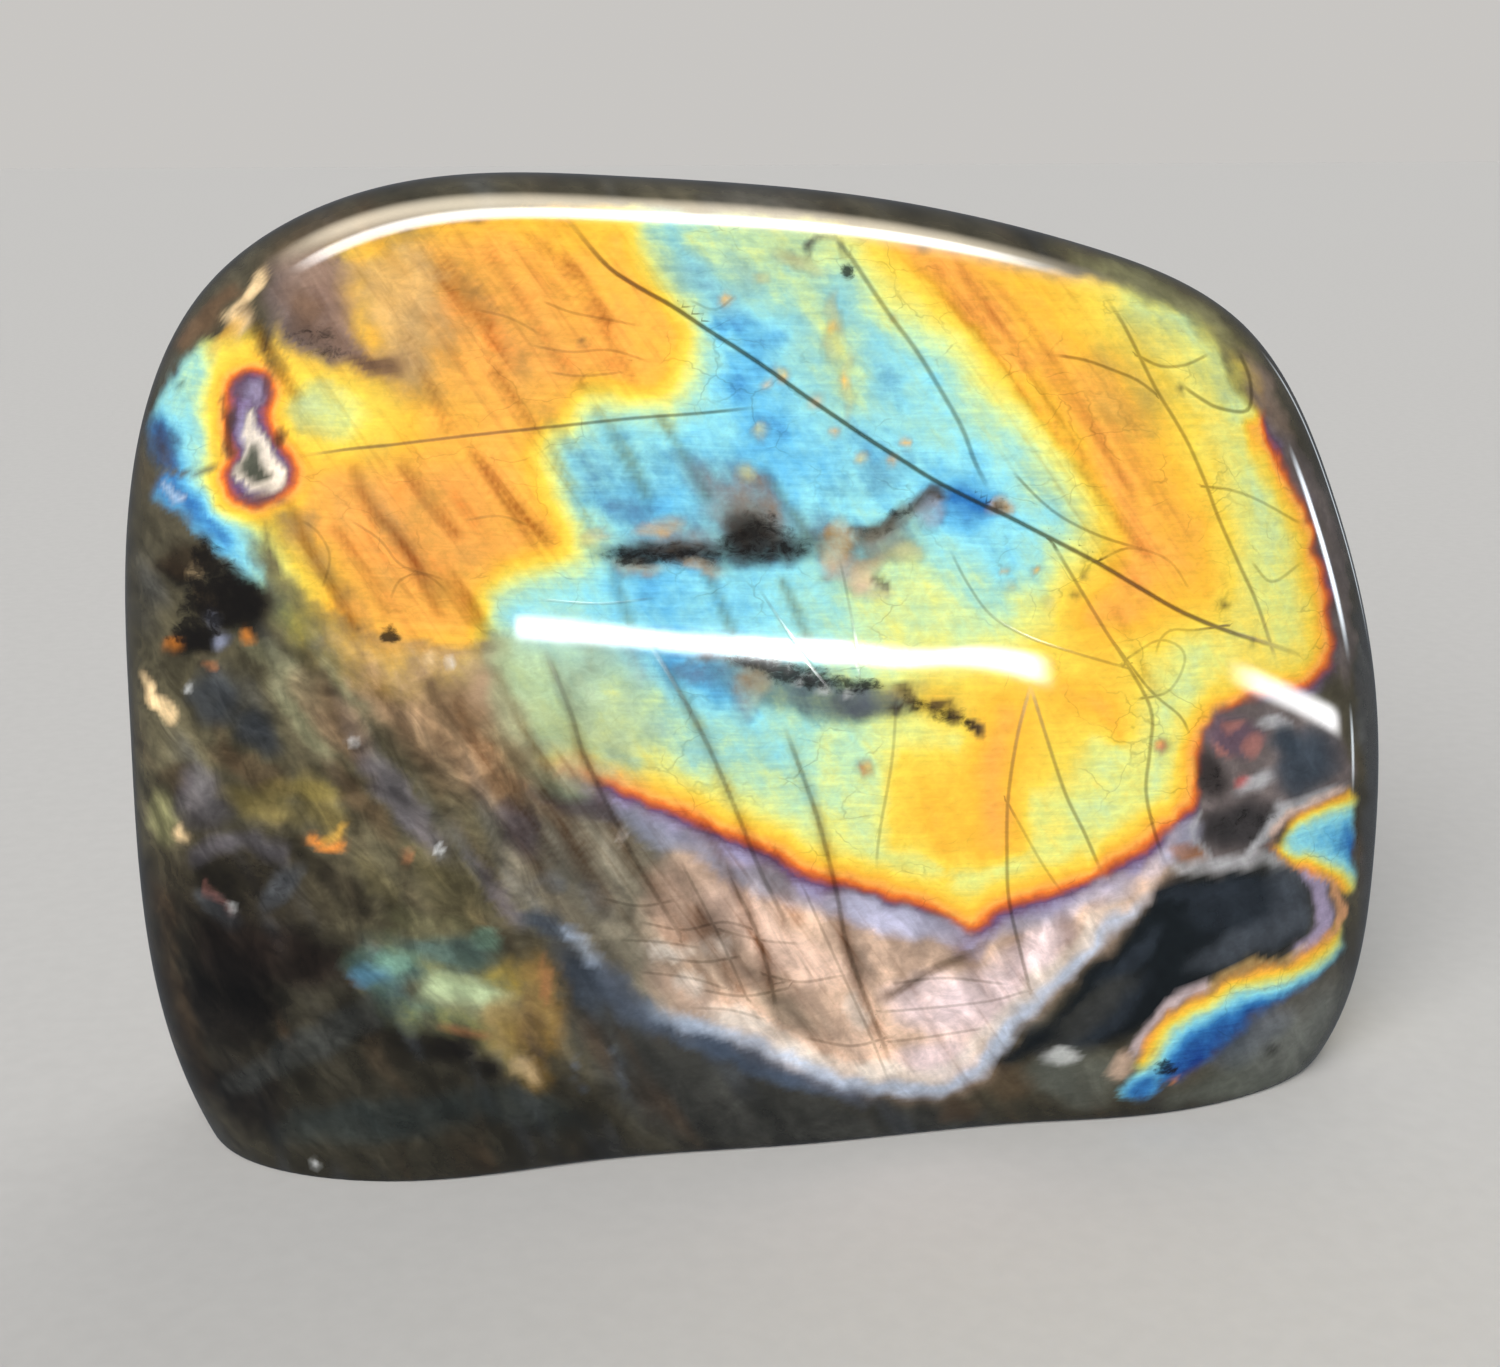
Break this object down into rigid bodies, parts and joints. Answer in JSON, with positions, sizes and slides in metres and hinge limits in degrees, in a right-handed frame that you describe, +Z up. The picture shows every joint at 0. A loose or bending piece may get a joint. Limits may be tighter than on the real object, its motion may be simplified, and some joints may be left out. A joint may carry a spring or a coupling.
{
  "type": "labradorite freeform",
  "caption": "Polished freeform stone with a gently domed face, rounded rim and flat cut base, showing blue, green and orange flash.",
  "frame": {"origin": "on the flat base, at the middle of the stone's bounding box", "axes": "+Z up, +X along the width, and the polished display face looks along -Y"},
  "size_m": [0.1079, 0.038, 0.0779],
  "materials": {
    "labradorite": "polished dark feldspar with an iridescent orange, green and blue flash"
  },
  "bodies": {
    "root": {"stone": "labradorite"}
  },
  "joints": []
}
